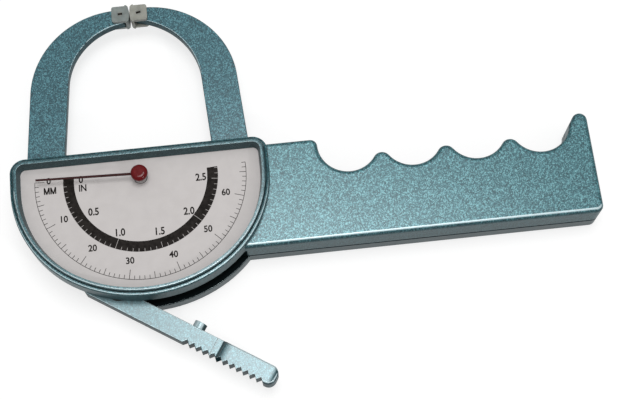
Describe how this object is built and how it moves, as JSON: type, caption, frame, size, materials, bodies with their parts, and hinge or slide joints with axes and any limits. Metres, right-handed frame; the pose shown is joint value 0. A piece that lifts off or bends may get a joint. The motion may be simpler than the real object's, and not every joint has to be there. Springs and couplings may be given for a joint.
{
  "type": "skinfold caliper",
  "caption": "Hand-held skinfold caliper with curved jaws, swivelling pads, geared dial pointer, thumb lever and finger-grip handle.",
  "frame": {"origin": "on the flat back, on the axis of the pointer shaft", "axes": "+X along the handle away from the head, +Y towards the jaw tips, +Z out of the dial"},
  "size_m": [0.1905, 0.1361, 0.0203],
  "materials": {
    "hammered_teal": "fine hammered metallic paint",
    "jaw_teal": "fine hammered metallic paint",
    "dial_white": "matt white print base",
    "pointer_red": "satin paint",
    "pad_translucent": "translucent natural",
    "plain_steel": "turned",
    "brass": "machined"
  },
  "bodies": {
    "frame": {"rear_frame": "hammered_teal", "front_frame": "hammered_teal", "dial_bezel": "hammered_teal", "fixed_jaw": "jaw_teal", "dial_plate": "dial_white", "frame_screws": "plain_steel", "fixed_jaw_screws": "plain_steel", "handle_screws": "plain_steel", "jaw_pivot_screw": "plain_steel", "frame_pillars": "plain_steel", "pivot_washers": "plain_steel", "closing_spring": "plain_steel", "spring_anchor_post": "plain_steel", "idler_post": "plain_steel", "right_pad_pin": "plain_steel", "pointer_bush": "brass"},
    "arm": {"moving_jaw_lever": "jaw_teal", "pivot_bush": "brass", "sector_gear": "brass", "sector_rivets": "plain_steel", "lever_stop_post": "jaw_teal", "spring_pull_post": "plain_steel", "left_pad_pin": "plain_steel"},
    "idler": {"idler_gear": "brass"},
    "pointer": {"pointer_shaft": "plain_steel", "pointer_pinion": "brass", "pointer_hand": "pointer_red", "pointer_hub_cap": "pointer_red"},
    "left_pad": {"left_pad": "pad_translucent"},
    "right_pad": {"right_pad": "pad_translucent"}
  },
  "joints": [
    {"name": "jaw_opening", "type": "hinge", "parent": "frame", "child": "arm", "pos_m": [-0.01, -0.0365, 0.00855], "axis": [0, 0, 1], "range_deg": [0, 40.15], "stiffness_Nm_per_rad": 0.35, "springref_deg": -20.05, "deforming": ["closing_spring"]},
    {"name": "idler_turn", "type": "hinge", "parent": "frame", "child": "idler", "pos_m": [0.00013, -0.0104, 0.0097], "axis": [0, 0, 1], "range_deg": [-161, 0]},
    {"name": "pointer_turn", "type": "hinge", "parent": "frame", "child": "pointer", "pos_m": [0, 0, 0.0097], "axis": [0, 0, 1], "range_deg": [0, 187.5]},
    {"name": "left_pad_swivel", "type": "hinge", "parent": "arm", "child": "left_pad", "pos_m": [-0.0034, 0.0613, 0.0093], "axis": [0, 0, 1], "range_deg": [-5, 5]},
    {"name": "right_pad_swivel", "type": "hinge", "parent": "frame", "child": "right_pad", "pos_m": [0.0029, 0.0613, 0.0093], "axis": [0, 0, 1], "range_deg": [-5, 5]}
  ],
  "couplings": [
    {"joint": "idler_turn", "follows": "jaw_opening", "ratio": -4},
    {"joint": "pointer_turn", "follows": "jaw_opening", "ratio": 4.6667}
  ]
}
